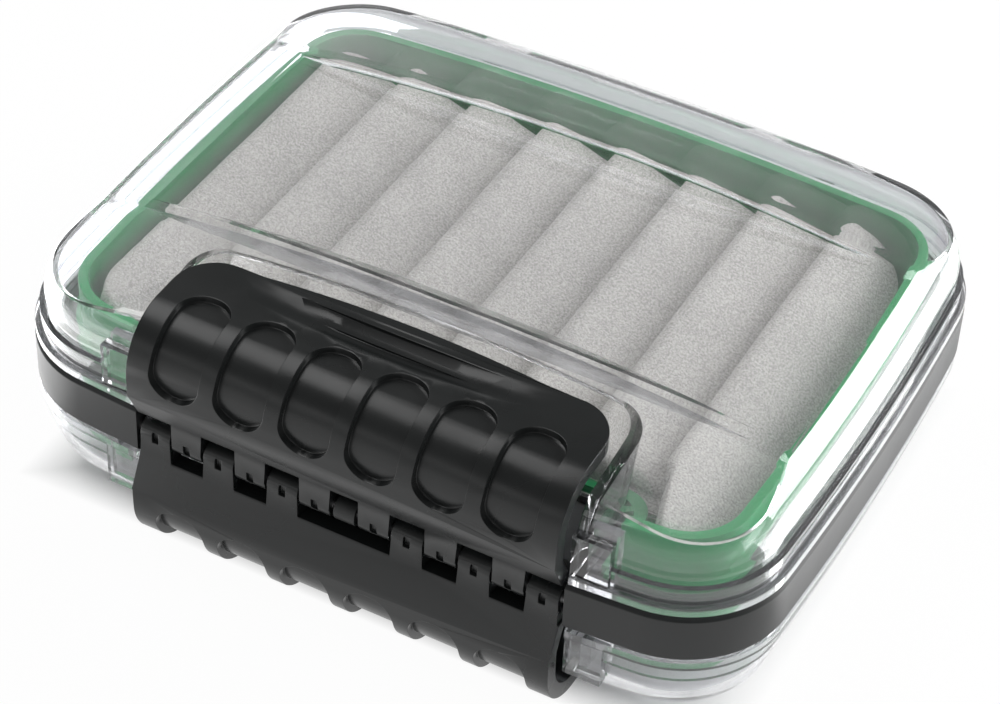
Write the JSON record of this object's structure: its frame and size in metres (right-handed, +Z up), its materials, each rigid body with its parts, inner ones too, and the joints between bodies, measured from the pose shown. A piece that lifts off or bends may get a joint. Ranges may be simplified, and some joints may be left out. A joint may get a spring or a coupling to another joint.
{
  "type": "fly box",
  "caption": "Flat rounded case with two clear hinged lids on a dark frame, ridged foam on both faces and wide finger latches along the front.",
  "frame": {"origin": "centre of the footprint, on the surface that the lower lid rests on", "axes": "+X along the latches to the right, -Y toward the latches, +Z up"},
  "size_m": [0.13, 0.1079, 0.0465],
  "materials": {
    "frame_black": "satin",
    "latch_black": "satin",
    "tray_green": "satin",
    "foam_grey": "matte",
    "adhesive_film": "matte",
    "seal_rubber": "matte",
    "lid_clear": "polished",
    "pin_steel": "satin"
  },
  "bodies": {
    "frame": {"centre_frame": "frame_black", "inner_tray": "tray_green", "upper_foam": "foam_grey", "lower_foam": "foam_grey", "upper_adhesive": "adhesive_film", "lower_adhesive": "adhesive_film", "upper_seal": "seal_rubber", "lower_seal": "seal_rubber", "latch_pin": "pin_steel", "left_hinge_pin": "pin_steel", "right_hinge_pin": "pin_steel"},
    "upper_lid": {"upper_lid": "lid_clear"},
    "lower_lid": {"lower_lid": "lid_clear"},
    "upper_latch": {"upper_latch": "latch_black"},
    "lower_latch": {"lower_latch": "latch_black"}
  },
  "joints": [
    {"name": "upper_lid_hinge", "type": "hinge", "parent": "frame", "child": "upper_lid", "pos_m": [0, 0.05173, 0.02325], "axis": [-1, 0, 0], "range_deg": [0, 92]},
    {"name": "lower_lid_hinge", "type": "hinge", "parent": "frame", "child": "lower_lid", "pos_m": [0, 0.05173, 0.02325], "axis": [1, 0, 0], "range_deg": [0, 92]},
    {"name": "upper_latch_hinge", "type": "hinge", "parent": "frame", "child": "upper_latch", "pos_m": [0, -0.04927, 0.02325], "axis": [1, 0, 0], "range_deg": [0, 58]},
    {"name": "lower_latch_hinge", "type": "hinge", "parent": "frame", "child": "lower_latch", "pos_m": [0, -0.04927, 0.02325], "axis": [-1, 0, 0], "range_deg": [0, 58]}
  ]
}
